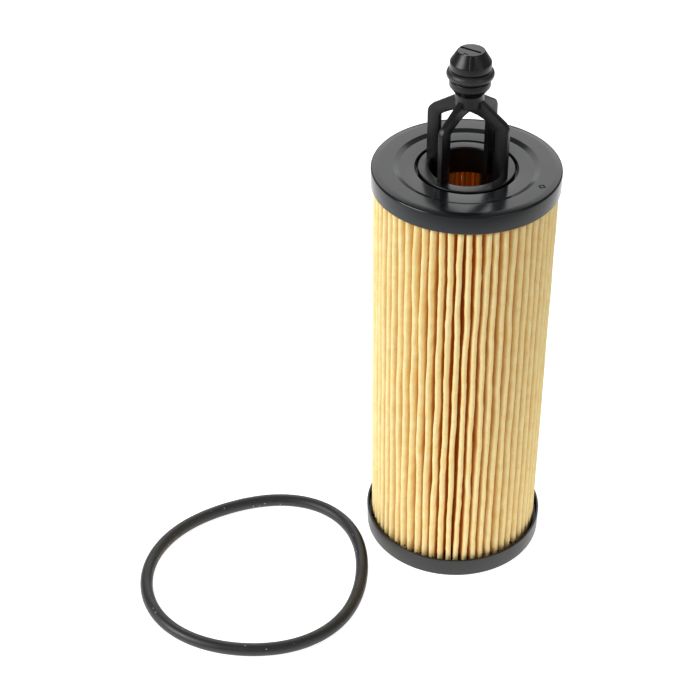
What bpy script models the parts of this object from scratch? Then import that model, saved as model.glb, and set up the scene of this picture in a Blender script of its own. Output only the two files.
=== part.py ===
"""Cartridge oil filter element with its loose housing seal, in Blender.

The element stands on its closed lower cap. Its axis is world Z and its underside is z = 0.
A pleated paper ring sits on an open support tube between two moulded end caps. A stem cage
drops into the upper cap: a collar, four flat legs and a grooved, slotted tip that carries a
small seal. The housing's large seal lies beside the element on the same surface.

All sizes below are in millimetres and are turned to metres when a mesh is made.
"""

import math

import bmesh
import bpy
from mathutils import Matrix, Vector

MM = 0.001
GAP = 0.3  # space left between pieces that touch on the real element

# Heights of the element's main levels.
UPPER_CAP_UNDERSIDE_Z = 113.75
UPPER_CAP_TOP_Z = 118.9
STEM_TOP_Z = 150.55

# Lower end cap: a closed dish with a thin rim.
LOWER_RIM_RADIUS = 24.85
LOWER_RIM_HEIGHT = 5.7
LOWER_RIM_WALL = 0.55
LOWER_RIM_FILLET = 0.2
LOWER_FOOT_RADIUS = 24.75
LOWER_FOOT_FILLET = 0.3
LOWER_FLOOR_Z = 2.5
LOWER_RECESS_RADII = (7.5, 17.0)
LOWER_RECESS_DEPTH = 1.0
SPIGOT_RADII = (9.0, 9.9)
SPIGOT_HEIGHT = 3.0

# Upper end cap: a ring with a shallow sunken track and a counterbore for the stem cage.
UPPER_CAP_RADIUS = 24.0
UPPER_CAP_FILLET = 0.7
UPPER_CAP_BORE_RADIUS = 11.6
BORDER_RADIUS = 22.2
BORDER_DROP = 0.2
TRACK_OUTER_RADIUS = 18.4
TRACK_INNER_RADIUS = 17.0
TRACK_DEPTH = 0.5
COUNTERBORE_RADIUS = 13.0
COUNTERBORE_FLOOR_Z = 115.8

# Pleated paper.
PLEAT_COUNT = 62
PLEAT_OUTER_RADIUS = 23.45
PLEAT_INNER_RADIUS = 11.8
PAPER_THICKNESS = 0.45
TIP_HALF_WIDTH = 0.55
FOLD_HALF_SLIT = 0.1
SEAM_AZIMUTH = 90.0
SEAM_HALF_SLIT = 0.75
BEAD_RADII = (18.0, 22.9)
BEAD_HALF_WIDTHS = (0.18, 0.42)

# Support tube with windows between four ribs.
CORE_OUTER_RADIUS = 11.3
CORE_INNER_RADIUS = 10.2
CORE_RIB_HALF_WIDTH = 1.6
CORE_RING_COUNT = 6
CORE_RING_HEIGHT = 2.6
CORE_TOP_RING_HEIGHT = 1.0
CORE_WINDOW_REACH = 13.3
CORE_WINDOW_AZIMUTH = 11.6

# Stem cage.
LEG_AZIMUTHS = (-31.5, 49.5)
LEG_THICKNESS = 1.4
LEG_OUTER_RADIUS = 11.2
LEG_INNER_RADIUS = 7.8
LEG_FOOT_Z = 112.4
COLLAR_BOTTOM_Z = 112.0
COLLAR_INNER_RADIUS = 9.3
COLLAR_OUTER_RADIUS = 11.3
LIP_RADIUS = 12.1
LIP_TOP_Z = 118.5
LIP_INNER_FILLET = 0.2
LIP_OUTER_FILLET = 0.25
SHOULDER_Z = 132.8
SHOULDER_FILLET = 3.0
ARCH_SHOULDER_Z = 131.2
ARCH_SHOULDER_FILLET = 0.8
ARCH_APEX_Z = 136.7
ARCH_APEX_FILLET = 10.5
HUB_BOTTOM_Z = 136.3
HUB_TOP_Z = 138.0
HUB_RADIUS = 3.4
NECK_TOP_Z = 139.4
NECK_RADIUS = 3.6
NECK_FILLET = 0.6
FLANGE_RADIUS = 5.1
FLANGE_FILLET = 0.5
GROOVE_EDGE_FILLET = 0.2
FLANGE_Z = (141.4, 142.8)
SEAL_GROOVE_RADIUS = 3.0
SEAL_GROOVE_TOP_Z = 146.0
HEAD_SHOULDER_Z = 147.7
HEAD_SHOULDER_FILLET = 0.8
TIP_RADIUS = 3.3
TIP_FILLET = 0.3
SLOT_WIDTH = 0.5
SLOT_DEPTH = 0.7
SLOT_AZIMUTH = -33.4
SLOT_CUTTER_HEIGHT = 1.7

# Small seal on the stem.
STEM_SEAL_SECTION = 2.5
STEM_SEAL_MEAN_RADIUS = 4.6
STEM_SEAL_Z = 144.5

# Loose housing seal: a soft ring that lies a little out of round.
COVER_SEAL_CENTRE = (-55.6, -25.0)
COVER_SEAL_RADIUS = 29.9
COVER_SEAL_SECTION = 3.5
COVER_SEAL_WAVES = ((2, 1.13, 34.3), (3, 0.86, -57.8), (4, 0.29, -41.3))

# Steps in a full turn, and in a seal's section.
CAP_SEGMENTS = 64
TUBE_SEGMENTS = 48
STEM_SEGMENTS = 32
COVER_SEAL_SEGMENTS = 72
SEAL_BEVEL_STEPS = 2

# Each material's linear colour and roughness.
NYLON = ((0.012, 0.012, 0.013), 0.3)
PAPER = ((0.80, 0.62, 0.30), 0.9)
MELT = ((0.55, 0.42, 0.22), 0.5)
RUBBER = ((0.02, 0.02, 0.021), 0.55)


def clear_scene():
    """Remove whatever the file opened with."""
    for item in list(bpy.data.objects):
        bpy.data.objects.remove(item, do_unlink=True)


def make_material(name, colour, roughness):
    """Return a non-metal Principled material."""
    material = bpy.data.materials.new(name)
    material.use_nodes = True
    shader = material.node_tree.nodes["Principled BSDF"]
    shader.inputs["Base Color"].default_value = (*colour, 1.0)
    shader.inputs["Roughness"].default_value = roughness
    shader.inputs["Metallic"].default_value = 0.0
    return material


def make_group(name, x, y):
    """Add an empty that holds one group of pieces, at (x, y) on the ground."""
    group = bpy.data.objects.new(name, None)
    group.location = (x * MM, y * MM, 0.0)
    bpy.context.collection.objects.link(group)
    return group


def add_object(name, data, material, parent, z=0.0):
    """Link an object for the data under its parent, seated at height z."""
    item = bpy.data.objects.new(name, data)
    item.parent = parent
    item.location = (0.0, 0.0, z * MM)
    if material is not None:
        data.materials.append(material)
    bpy.context.collection.objects.link(item)
    return item


def mesh_from(bm, name, smooth_angle=35.0):
    """Close up a bmesh, face it outwards, and return it as a mesh in metres."""
    bmesh.ops.remove_doubles(bm, verts=bm.verts, dist=1e-4)
    bmesh.ops.recalc_face_normals(bm, faces=bm.faces)
    bmesh.ops.scale(bm, vec=(MM, MM, MM), verts=bm.verts)
    mesh = bpy.data.meshes.new(name)
    bm.to_mesh(mesh)
    bm.free()
    mesh.shade_smooth()
    mesh.set_sharp_from_angle(angle=math.radians(smooth_angle))
    return mesh


def fillet(corners, steps=3):
    """Return a closed outline's points, with an arc at each (x, y, radius) corner."""
    outline = []
    for index, (x, y, radius) in enumerate(corners):
        corner = Vector((x, y))
        if radius == 0.0:
            outline.append(corner)
            continue
        back = (Vector(corners[index - 1][:2]) - corner).normalized()
        ahead = (Vector(corners[(index + 1) % len(corners)][:2]) - corner).normalized()
        half = back.angle(ahead) / 2
        centre = corner + (back + ahead).normalized() * (radius / math.sin(half))
        start = corner + back * (radius / math.tan(half)) - centre
        end = corner + ahead * (radius / math.tan(half)) - centre
        for step in range(steps + 1):
            outline.append(centre + start.slerp(end, step / steps).normalized() * radius)
    return outline


def turned_mesh(name, profile, segments, closed=True):
    """Turn an (r, z) profile about Z: a closed one makes a ring, an open one a solid."""
    bm = bmesh.new()
    verts = [bm.verts.new((r, 0.0, z)) for r, z in profile]
    pairs = list(zip(verts, verts[1:]))
    if closed:
        pairs.append((verts[-1], verts[0]))
    edges = [bm.edges.new(pair) for pair in pairs]
    bmesh.ops.spin(bm, geom=verts + edges, cent=(0, 0, 0), axis=(0, 0, 1),
                   angle=math.tau, steps=segments, use_merge=True)
    return mesh_from(bm, name)


def prism_mesh(name, outline, height):
    """Extrude a closed (x, y) outline upwards from z = 0."""
    bm = bmesh.new()
    face = bm.faces.new([bm.verts.new((x, y, 0.0)) for x, y in outline])
    top = bmesh.ops.extrude_face_region(bm, geom=[face])["geom"]
    moved = [part for part in top if isinstance(part, bmesh.types.BMVert)]
    bmesh.ops.translate(bm, vec=(0.0, 0.0, height), verts=moved)
    return mesh_from(bm, name)


def combine(target, mesh, operation, z=0.0):
    """Unite a hidden helper with the target, or cut it away, by an exact Boolean."""
    helper = add_object(f"{mesh.name}_tool", mesh, None, target, z)
    helper.hide_render = True
    helper.display_type = "WIRE"
    boolean = target.modifiers.new(mesh.name, "BOOLEAN")
    boolean.operation = operation
    boolean.object = helper
    boolean.solver = "EXACT"


def make_lower_cap(parent, material):
    """Dish with a thin rim, a recessed underside and a short spigot for the tube."""
    inner_rim = LOWER_RIM_RADIUS - LOWER_RIM_WALL
    recess_in, recess_out = LOWER_RECESS_RADII
    spigot_in, spigot_out = SPIGOT_RADII
    spigot_top = LOWER_FLOOR_Z + SPIGOT_HEIGHT
    profile = fillet([
        (0.0, LOWER_FLOOR_Z, 0.0),
        (spigot_in, LOWER_FLOOR_Z, 0.0),
        (spigot_in, spigot_top, 0.0),
        (spigot_out, spigot_top, 0.0),
        (spigot_out, LOWER_FLOOR_Z, 0.0),
        (inner_rim, LOWER_FLOOR_Z, 0.0),
        (inner_rim, LOWER_RIM_HEIGHT, 0.0),
        (LOWER_RIM_RADIUS, LOWER_RIM_HEIGHT, LOWER_RIM_FILLET),
        (LOWER_FOOT_RADIUS, 0.0, LOWER_FOOT_FILLET),
        (recess_out, 0.0, 0.0),
        (recess_out - LOWER_RECESS_DEPTH, LOWER_RECESS_DEPTH, 0.0),
        (recess_in + LOWER_RECESS_DEPTH, LOWER_RECESS_DEPTH, 0.0),
        (recess_in, 0.0, 0.0),
        (0.0, 0.0, 0.0),
    ], steps=2)
    mesh = turned_mesh("bottom_end_cap", profile, CAP_SEGMENTS, closed=False)
    return add_object("bottom_end_cap", mesh, material, parent)


def make_upper_cap(parent, material):
    """Ring with a bevelled border, a sunken track and a stepped bore."""
    track_z = UPPER_CAP_TOP_Z - TRACK_DEPTH
    profile = fillet([
        (TRACK_OUTER_RADIUS, UPPER_CAP_TOP_Z, 0.0),
        (BORDER_RADIUS, UPPER_CAP_TOP_Z, 0.0),
        (UPPER_CAP_RADIUS, UPPER_CAP_TOP_Z - BORDER_DROP, UPPER_CAP_FILLET),
        (UPPER_CAP_RADIUS, UPPER_CAP_UNDERSIDE_Z, 0.0),
        (UPPER_CAP_BORE_RADIUS, UPPER_CAP_UNDERSIDE_Z, 0.0),
        (UPPER_CAP_BORE_RADIUS, COUNTERBORE_FLOOR_Z, 0.0),
        (COUNTERBORE_RADIUS, COUNTERBORE_FLOOR_Z, 0.0),
        (COUNTERBORE_RADIUS, track_z, 0.0),
        (TRACK_INNER_RADIUS, track_z, 0.0),
    ], steps=3)
    local = [(r, z - UPPER_CAP_UNDERSIDE_Z) for r, z in profile]
    mesh = turned_mesh("top_end_cap", local, CAP_SEGMENTS)
    return add_object("top_end_cap", mesh, material, parent, UPPER_CAP_UNDERSIDE_Z)


def on_circle(radius, degrees):
    """Return the (x, y) point at a radius and an azimuth."""
    angle = math.radians(degrees)
    return (radius * math.cos(angle), radius * math.sin(angle))


def degrees_across(width, radius):
    """Return the azimuth, in degrees, that a width takes at a radius."""
    return math.degrees(width / radius)


def pleat_outline():
    """Return the strip's section: along its outer side, then back along its inner side."""
    pitch = 360.0 / PLEAT_COUNT
    tip = degrees_across(TIP_HALF_WIDTH, PLEAT_OUTER_RADIUS)
    slit = degrees_across(FOLD_HALF_SLIT, PLEAT_OUTER_RADIUS)
    valley = degrees_across(FOLD_HALF_SLIT / 2, PLEAT_INNER_RADIUS)
    root = pitch / 2 - degrees_across(PAPER_THICKNESS, PLEAT_INNER_RADIUS) + valley
    seam = degrees_across(SEAM_HALF_SLIT, PLEAT_OUTER_RADIUS)
    seam_outside = seam + degrees_across(PAPER_THICKNESS, PLEAT_OUTER_RADIUS)
    valley_radius = PLEAT_INNER_RADIUS + PAPER_THICKNESS
    fold_radius = PLEAT_OUTER_RADIUS - PAPER_THICKNESS

    outer = [on_circle(PLEAT_OUTER_RADIUS, SEAM_AZIMUTH + seam_outside)]
    inner = [on_circle(PLEAT_OUTER_RADIUS, SEAM_AZIMUTH + seam)]
    for index in range(PLEAT_COUNT):
        centre = SEAM_AZIMUTH + pitch * (index + 0.5)
        for side in (-1, 1):
            outer.append(on_circle(valley_radius, centre + side * valley))
            inner.append(on_circle(PLEAT_INNER_RADIUS, centre + side * (pitch / 2 - root)))
        if index < PLEAT_COUNT - 1:
            crest = centre + pitch / 2
            for side in (-1, 1):
                outer.append(on_circle(PLEAT_OUTER_RADIUS, crest + side * tip))
                inner.append(on_circle(fold_radius, crest + side * slit))
    outer.append(on_circle(PLEAT_OUTER_RADIUS, SEAM_AZIMUTH - seam_outside))
    inner.append(on_circle(PLEAT_OUTER_RADIUS, SEAM_AZIMUTH - seam))
    return outer, inner


def make_media(parent, material):
    """Pleated strip, bent into a ring and left open at its seam."""
    bottom = LOWER_FLOOR_Z + GAP
    height = UPPER_CAP_UNDERSIDE_Z - GAP - bottom
    bm = bmesh.new()
    strip = [[bm.verts.new((x, y, 0.0)) for x, y in side] for side in pleat_outline()]
    outer, inner = strip
    faces = []
    for index in range(len(outer) - 1):
        faces.append(bm.faces.new((outer[index], outer[index + 1], inner[index + 1], inner[index])))
    top = bmesh.ops.extrude_face_region(bm, geom=faces)["geom"]
    moved = [part for part in top if isinstance(part, bmesh.types.BMVert)]
    bmesh.ops.translate(bm, vec=(0.0, 0.0, height), verts=moved)
    mesh = mesh_from(bm, "pleated_media")
    return add_object("pleated_media", mesh, material, parent, bottom)


def make_seam_bead(parent, material):
    """Wedge of melt that closes the strip's two ends."""
    bottom = LOWER_FLOOR_Z + GAP
    height = UPPER_CAP_UNDERSIDE_Z - GAP - bottom
    inner_radius, outer_radius = BEAD_RADII
    inner_half, outer_half = BEAD_HALF_WIDTHS
    outline = [(-inner_half, inner_radius), (inner_half, inner_radius),
               (outer_half, outer_radius), (-outer_half, outer_radius)]
    mesh = prism_mesh("seam_bead", outline, height)
    bead = add_object("seam_bead", mesh, material, parent, bottom)
    bead.rotation_euler.z = math.radians(SEAM_AZIMUTH - 90.0)
    return bead


def make_core(parent, material):
    """Support tube: rings joined by four ribs, with open windows between them."""
    bottom = LOWER_FLOOR_Z + GAP
    top = COLLAR_BOTTOM_Z - GAP
    height = top - bottom
    profile = [(CORE_OUTER_RADIUS, height), (CORE_OUTER_RADIUS, 0.0),
               (CORE_INNER_RADIUS, 0.0), (CORE_INNER_RADIUS, height)]
    core = add_object("centre_core", turned_mesh("centre_core", profile, TUBE_SEGMENTS),
                      material, parent, bottom)
    windows = CORE_RING_COUNT - 1
    window_height = (height - CORE_TOP_RING_HEIGHT) / windows - CORE_RING_HEIGHT
    mean_radius = (CORE_OUTER_RADIUS + CORE_INNER_RADIUS) / 2
    reach = CORE_WINDOW_REACH
    opening = math.radians(45.0) - CORE_RIB_HALF_WIDTH / mean_radius
    half = mean_radius * math.sin(opening)
    quarter = [Vector((reach, -half)), Vector((reach, half)), Vector((half, half))]
    turn = math.radians(CORE_WINDOW_AZIMUTH)
    cross = [Matrix.Rotation(turn + math.tau * arm / 4, 2) @ point
             for arm in range(4) for point in quarter]
    for index in range(windows):
        level = CORE_RING_HEIGHT + index * (window_height + CORE_RING_HEIGHT)
        mesh = prism_mesh(f"core_window_{index + 1}", cross, window_height)
        combine(core, mesh, "DIFFERENCE", level)
    return core


def leg_plate_mesh(name, azimuth):
    """One flat arch: two opposite legs that meet at the hub, standing at an azimuth."""
    outer = LEG_OUTER_RADIUS
    inner = LEG_INNER_RADIUS
    right = [(outer, LEG_FOOT_Z, 0.0), (outer, SHOULDER_Z, SHOULDER_FILLET),
             (HUB_RADIUS, HUB_TOP_Z, 0.0)]
    left = [(-r, z, radius) for r, z, radius in reversed(right)]
    underside = [(-inner, LEG_FOOT_Z, 0.0), (-inner, ARCH_SHOULDER_Z, ARCH_SHOULDER_FILLET),
                 (0.0, ARCH_APEX_Z, ARCH_APEX_FILLET),
                 (inner, ARCH_SHOULDER_Z, ARCH_SHOULDER_FILLET), (inner, LEG_FOOT_Z, 0.0)]
    outline = fillet(right + left + underside, steps=4)
    mesh = prism_mesh(name, outline, LEG_THICKNESS)
    centre = Matrix.Translation((0.0, 0.0, -LEG_THICKNESS * MM / 2))
    upright = Matrix.Rotation(math.radians(90.0), 4, "X")
    turn = Matrix.Rotation(math.radians(azimuth), 4, "Z")
    mesh.transform(turn @ upright @ centre)
    return mesh


def stem_profile():
    """Return the stem's half section, from its buried foot up to the flat tip."""
    flange_bottom, flange_top = FLANGE_Z
    return fillet([
        (0.0, STEM_TOP_Z, 0.0),
        (TIP_RADIUS, STEM_TOP_Z, TIP_FILLET),
        (FLANGE_RADIUS, HEAD_SHOULDER_Z, HEAD_SHOULDER_FILLET),
        (FLANGE_RADIUS, SEAL_GROOVE_TOP_Z, GROOVE_EDGE_FILLET),
        (SEAL_GROOVE_RADIUS, SEAL_GROOVE_TOP_Z, 0.0),
        (SEAL_GROOVE_RADIUS, flange_top, 0.0),
        (FLANGE_RADIUS, flange_top, GROOVE_EDGE_FILLET),
        (FLANGE_RADIUS, flange_bottom, FLANGE_FILLET),
        (NECK_RADIUS, NECK_TOP_Z, NECK_FILLET),
        (NECK_RADIUS, HUB_BOTTOM_Z, 0.0),
        (0.0, HUB_BOTTOM_Z, 0.0),
    ], steps=2)


def make_stem_cage(parent, material):
    """Collar, crossed arches, and the grooved stem with its slotted tip, in one moulding."""
    lip_bottom = COUNTERBORE_FLOOR_Z + GAP
    collar = fillet([
        (COLLAR_INNER_RADIUS, LIP_TOP_Z, LIP_INNER_FILLET),
        (LIP_RADIUS, LIP_TOP_Z, LIP_OUTER_FILLET),
        (LIP_RADIUS, lip_bottom, 0.0),
        (COLLAR_OUTER_RADIUS, lip_bottom, 0.0),
        (COLLAR_OUTER_RADIUS, COLLAR_BOTTOM_Z, 0.0),
        (COLLAR_INNER_RADIUS, COLLAR_BOTTOM_Z, 0.0),
    ], steps=2)
    cage = add_object("stem_cage", turned_mesh("stem_cage", collar, TUBE_SEGMENTS), material,
                      parent)
    for index, azimuth in enumerate(LEG_AZIMUTHS):
        combine(cage, leg_plate_mesh(f"leg_plate_{index + 1}", azimuth), "UNION")
    combine(cage, turned_mesh("stem", stem_profile(), STEM_SEGMENTS, closed=False), "UNION")
    half = SLOT_WIDTH / 2
    reach = FLANGE_RADIUS
    outline = [(-reach, -half), (reach, -half), (reach, half), (-reach, half)]
    slot = prism_mesh("tip_slot", outline, SLOT_CUTTER_HEIGHT)
    slot.transform(Matrix.Rotation(math.radians(SLOT_AZIMUTH), 4, "Z"))
    combine(cage, slot, "DIFFERENCE", STEM_TOP_Z - SLOT_DEPTH)
    return cage


def ring_curve(name, points, section):
    """Return a closed curve with a round section through the (x, y) points."""
    curve = bpy.data.curves.new(name, "CURVE")
    curve.dimensions = "3D"
    curve.bevel_depth = section / 2 * MM
    curve.bevel_resolution = SEAL_BEVEL_STEPS
    spline = curve.splines.new("POLY")
    spline.points.add(len(points) - 1)
    spline.use_cyclic_u = True
    for target, (x, y) in zip(spline.points, points):
        target.co = (x * MM, y * MM, 0.0, 1.0)
    return curve


def make_stem_seal(parent, material):
    """Small seal in the groove of the stem."""
    points = [on_circle(STEM_SEAL_MEAN_RADIUS, 360.0 * step / STEM_SEGMENTS)
              for step in range(STEM_SEGMENTS)]
    curve = ring_curve("stem_tip_seal", points, STEM_SEAL_SECTION)
    return add_object("stem_tip_seal", curve, material, parent, STEM_SEAL_Z)


def cover_seal_radius(degrees):
    """Return the loose ring's radius at an azimuth: round, with a few soft waves."""
    radius = COVER_SEAL_RADIUS
    for order, amplitude, phase in COVER_SEAL_WAVES:
        radius += amplitude * math.cos(order * math.radians(degrees - phase))
    return radius


def make_cover_seal(parent, material):
    """Large seal, lying flat on the ground beside the element."""
    azimuths = [360.0 * step / COVER_SEAL_SEGMENTS for step in range(COVER_SEAL_SEGMENTS)]
    points = [on_circle(cover_seal_radius(azimuth), azimuth) for azimuth in azimuths]
    curve = ring_curve("cover_seal_ring", points, COVER_SEAL_SECTION)
    return add_object("cover_seal_ring", curve, material, parent, COVER_SEAL_SECTION / 2)


def main():
    """Build every piece of the element and the loose seal."""
    clear_scene()
    nylon = make_material("black_nylon", *NYLON)
    paper = make_material("filter_paper", *PAPER)
    melt = make_material("hot_melt", *MELT)
    rubber = make_material("nitrile_rubber", *RUBBER)

    element = make_group("element_axis", 0.0, 0.0)
    make_lower_cap(element, nylon)
    make_core(element, nylon)
    make_media(element, paper)
    make_seam_bead(element, melt)
    make_upper_cap(element, nylon)
    make_stem_cage(element, nylon)
    make_stem_seal(element, rubber)

    cover_seal = make_group("cover_seal_centre", *COVER_SEAL_CENTRE)
    make_cover_seal(cover_seal, rubber)


main()
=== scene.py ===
"""Studio view of a slim cartridge oil filter element and its loose housing seal.

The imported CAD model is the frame. Every visible piece here is a finished mesh in the frame's
metres that stands for one CAD node: the pleated paper, the two moulded end caps, the stem
cage, the seals and the small traces that making them leaves.
"""

from __future__ import annotations

import logging
import math
from dataclasses import dataclass, field
from enum import Enum
from typing import Sequence

import bmesh
import bpy
from mathutils import Matrix, Vector, noise


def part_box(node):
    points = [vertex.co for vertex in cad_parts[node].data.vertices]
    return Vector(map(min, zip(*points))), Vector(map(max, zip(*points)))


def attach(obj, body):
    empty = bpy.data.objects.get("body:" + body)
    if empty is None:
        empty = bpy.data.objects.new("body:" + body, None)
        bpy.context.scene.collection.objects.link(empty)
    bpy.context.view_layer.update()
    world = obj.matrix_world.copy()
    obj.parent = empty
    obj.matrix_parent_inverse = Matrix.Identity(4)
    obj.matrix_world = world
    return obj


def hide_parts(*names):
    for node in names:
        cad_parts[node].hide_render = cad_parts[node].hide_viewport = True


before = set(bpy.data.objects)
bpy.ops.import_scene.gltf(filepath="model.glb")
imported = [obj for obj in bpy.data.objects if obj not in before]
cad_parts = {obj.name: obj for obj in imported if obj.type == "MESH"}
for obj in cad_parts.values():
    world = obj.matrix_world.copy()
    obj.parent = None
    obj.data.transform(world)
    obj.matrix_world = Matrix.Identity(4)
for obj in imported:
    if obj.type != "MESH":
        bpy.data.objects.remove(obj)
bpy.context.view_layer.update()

MM = 0.001
CRISP_DEGREES = 32.0
SOFT_DEGREES = 60.0
NOISE_LOW = 0.3
NOISE_HIGH = 0.7
MATH = "ShaderNodeMath"
VECTOR_MATH = "ShaderNodeVectorMath"
NOISE = "ShaderNodeTexNoise"
MAP_RANGE = "ShaderNodeMapRange"
ELEMENT = "element"
COVER_SEAL = "cover_seal"

log = logging.getLogger("oil_filter")

Profile = list[tuple[float, float]]


# ---------------------------------------------------------------- shared helpers


def srgb(code: str) -> tuple[float, float, float, float]:
    """Turn an sRGB hex colour into linear light.

    Args:
        code: six hex digits, with or without a leading hash.

    Returns:
        Linear red, green, blue and an alpha of 1.
    """
    digits = code.lstrip("#")
    channels = [int(digits[at:at + 2], 16) / 255.0 for at in (0, 2, 4)]
    linear = [c / 12.92 if c <= 0.04045 else ((c + 0.055) / 1.055) ** 2.4 for c in channels]
    return (linear[0], linear[1], linear[2], 1.0)


def add_node(tree: bpy.types.NodeTree, kind: str, inputs: dict | Sequence = (),
             **settings: object) -> bpy.types.Node:
    """Add a node, set its properties and fill or link its inputs.

    Args:
        tree: the node tree that gets the node.
        kind: the node's type name.
        inputs: what goes into the node, as fill_inputs takes it.
        **settings: properties of the node itself.

    Returns:
        The new node.
    """
    node = tree.nodes.new(kind)
    for name, value in settings.items():
        setattr(node, name, value)
    return fill_inputs(tree, node, inputs)


def fill_inputs(tree: bpy.types.NodeTree, node: bpy.types.Node,
                inputs: dict | Sequence) -> bpy.types.Node:
    """Fill or link a node's inputs.

    Args:
        tree: the tree that the node is in.
        node: the node.
        inputs: input name or number to what goes in, or a sequence that fills the inputs in
            order. A socket is linked, a node stands for its first output, and the rest are
            plain values.

    Returns:
        The same node.
    """
    pairs = inputs.items() if isinstance(inputs, dict) else enumerate(inputs)
    for key, value in pairs:
        if isinstance(value, bpy.types.Node):
            value = value.outputs[0]
        if isinstance(value, bpy.types.NodeSocket):
            tree.links.new(value, node.inputs[key])
        else:
            node.inputs[key].default_value = value
    return node


def node_box(name: str) -> tuple[Vector, Vector]:
    """Return a CAD node's lowest and highest corners in millimetres."""
    low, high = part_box(name)
    return low / MM, high / MM


def link_object(name: str, mesh: bpy.types.Mesh) -> bpy.types.Object:
    """Put a mesh into the scene as an object at the origin."""
    item = bpy.data.objects.new(name, mesh)
    bpy.context.scene.collection.objects.link(item)
    return item


def finish_piece(item: bpy.types.Object, body: str, slot: str, *nodes: str) -> bpy.types.Object:
    """Hand a finished piece to the frame and report it.

    Args:
        item: the piece, in place at the origin.
        body: the CAD body that it rides on.
        slot: the record's material slot; not used.
        *nodes: the CAD nodes that it stands for.

    Returns:
        The same piece.
    """
    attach(item, body)
    if nodes:
        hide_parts(*nodes)
    item.data.calc_loop_triangles()
    log.info("%s: %d triangles, rides on %s", item.name, len(item.data.loop_triangles), body)
    return item


def mesh_from_bmesh(bm: bmesh.types.BMesh, name: str, sharp: float) -> bpy.types.Mesh:
    """Close a bmesh that is in millimetres and return it as a smooth mesh in metres.

    Args:
        bm: the shape, which is freed.
        name: the mesh's name.
        sharp: angle in degrees above which an edge stays crisp.

    Returns:
        The mesh, faces outwards.
    """
    bmesh.ops.remove_doubles(bm, verts=bm.verts, dist=1e-4)
    bmesh.ops.recalc_face_normals(bm, faces=bm.faces)
    bmesh.ops.scale(bm, vec=(MM, MM, MM), verts=bm.verts)
    mesh = bpy.data.meshes.new(name)
    bm.to_mesh(mesh)
    bm.free()
    mesh.shade_smooth()
    mesh.set_sharp_from_angle(angle=math.radians(sharp))
    return mesh


def fillet(corners: Sequence[tuple[float, float, float]], steps: int = 6) -> Profile:
    """Round the corners of a closed outline.

    Args:
        corners: (x, y, radius) for each corner, in millimetres.
        steps: segments in each arc.

    Returns:
        The outline's points.
    """
    outline: Profile = []
    for index, (x, y, radius) in enumerate(corners):
        corner = Vector((x, y))
        if radius == 0.0:
            outline.append((x, y))
            continue
        back = (Vector(corners[index - 1][:2]) - corner).normalized()
        ahead = (Vector(corners[(index + 1) % len(corners)][:2]) - corner).normalized()
        half = back.angle(ahead) / 2
        centre = corner + (back + ahead).normalized() * (radius / math.sin(half))
        start = corner + back * (radius / math.tan(half)) - centre
        end = corner + ahead * (radius / math.tan(half)) - centre
        for step in range(steps + 1):
            point = centre + start.slerp(end, step / steps).normalized() * radius
            outline.append((point.x, point.y))
    return outline


def turned(name: str, profile: Profile, segments: int, closed: bool = True,
           sharp: float = CRISP_DEGREES) -> bpy.types.Mesh:
    """Turn an (r, z) profile about the Z axis.

    Args:
        name: the mesh's name.
        profile: the section's points in millimetres.
        segments: steps in the full turn.
        closed: whether the section closes on itself, as a ring's does.
        sharp: angle in degrees above which an edge stays crisp.

    Returns:
        The turned mesh in metres.
    """
    bm = bmesh.new()
    verts = [bm.verts.new((r, 0.0, z)) for r, z in profile]
    pairs = list(zip(verts, verts[1:]))
    if closed:
        pairs.append((verts[-1], verts[0]))
    edges = [bm.edges.new(pair) for pair in pairs]
    bmesh.ops.spin(bm, geom=verts + edges, cent=(0, 0, 0), axis=(0, 0, 1),
                   angle=math.tau, steps=segments, use_merge=True)
    return mesh_from_bmesh(bm, name, sharp)


def prism(name: str, outline: Profile, low: float, high: float,
          edge: float = 0.0) -> bpy.types.Mesh:
    """Extrude a closed (x, y) outline between two heights, with rounded rims.

    Args:
        name: the mesh's name.
        outline: the section's points in millimetres.
        low: lower height in millimetres.
        high: upper height in millimetres.
        edge: radius of the rims in millimetres, or 0 for crisp ones.

    Returns:
        The prism as a mesh in metres.
    """
    bm = bmesh.new()
    face = bm.faces.new([bm.verts.new((x, y, low)) for x, y in outline])
    top = bmesh.ops.extrude_face_region(bm, geom=[face])["geom"]
    moved = [part for part in top if isinstance(part, bmesh.types.BMVert)]
    bmesh.ops.translate(bm, vec=(0.0, 0.0, high - low), verts=moved)
    bmesh.ops.recalc_face_normals(bm, faces=bm.faces)
    if edge:
        rims = [e for e in bm.edges if abs(e.verts[0].co.z - e.verts[1].co.z) < 1e-6]
        bmesh.ops.bevel(bm, geom=rims, offset=edge, offset_type="OFFSET", segments=3,
                        profile=0.5, affect="EDGES")
    return mesh_from_bmesh(bm, name, CRISP_DEGREES)


def boolean(target: bpy.types.Object, meshes: Sequence[bpy.types.Mesh], operation: str) -> None:
    """Unite meshes with the target, or cut them away, and keep the result as its mesh.

    Args:
        target: the object that is changed.
        meshes: the other shapes, already in place.
        operation: "UNION" or "DIFFERENCE".
    """
    helpers = [link_object(mesh.name, mesh) for mesh in meshes]
    for helper in helpers:
        modifier = target.modifiers.new(helper.name, "BOOLEAN")
        modifier.operation = operation
        modifier.object = helper
        modifier.solver = "EXACT"
    bake_modifiers(target)
    for helper in helpers:
        bpy.data.objects.remove(helper, do_unlink=True)
    target.data.shade_smooth()
    target.data.set_sharp_from_angle(angle=math.radians(CRISP_DEGREES))


def bake_modifiers(item: bpy.types.Object) -> None:
    """Swap an object's mesh for its evaluated one and drop the modifiers."""
    graph = bpy.context.evaluated_depsgraph_get()
    baked = bpy.data.meshes.new_from_object(item.evaluated_get(graph), depsgraph=graph)
    item.modifiers.clear()
    item.data = baked


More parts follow.
